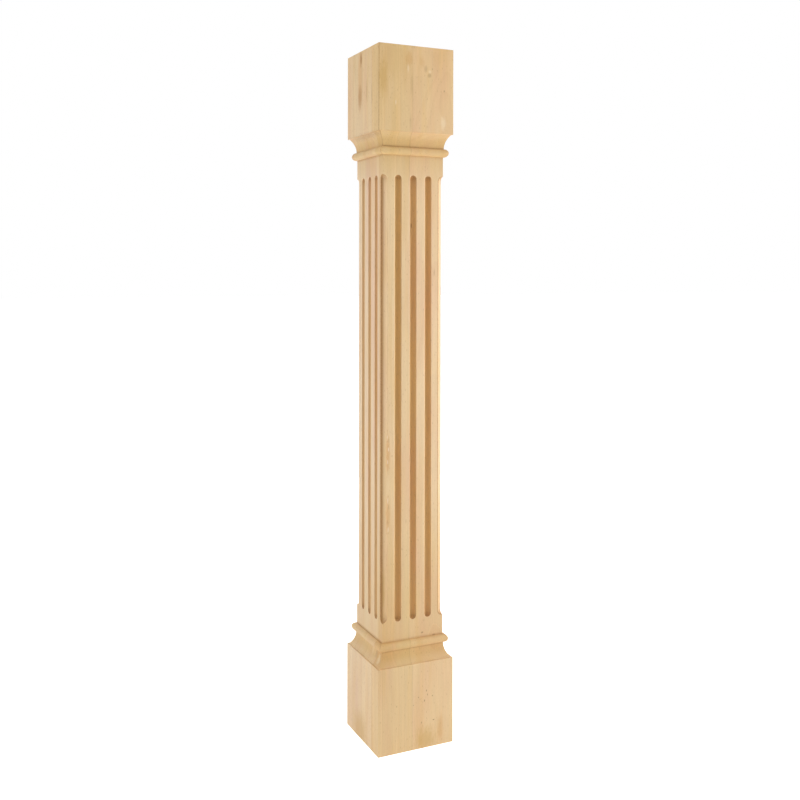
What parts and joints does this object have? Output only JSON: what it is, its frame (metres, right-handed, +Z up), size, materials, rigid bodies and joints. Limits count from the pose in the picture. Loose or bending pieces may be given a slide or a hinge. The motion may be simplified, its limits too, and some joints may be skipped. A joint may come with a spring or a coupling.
{
  "type": "fluted post",
  "caption": "Square hardwood post with plain end blocks, a cove and bead at each end, and a narrower shaft with round-bottomed flutes and scooped corners.",
  "frame": {"origin": "middle of the underside of the lower block", "axes": "+Z up along the post, X and Y square to its faces; the wide face in the picture looks along -Y and the narrow one along -X"},
  "size_m": [0.127, 0.127, 1.0795],
  "materials": {
    "maple": "bare, machine sanded hardwood, pale and matt, glued up from several boards, with no stain, oil or varnish"
  },
  "bodies": {
    "root": {"fluted_post": "maple"}
  },
  "joints": []
}
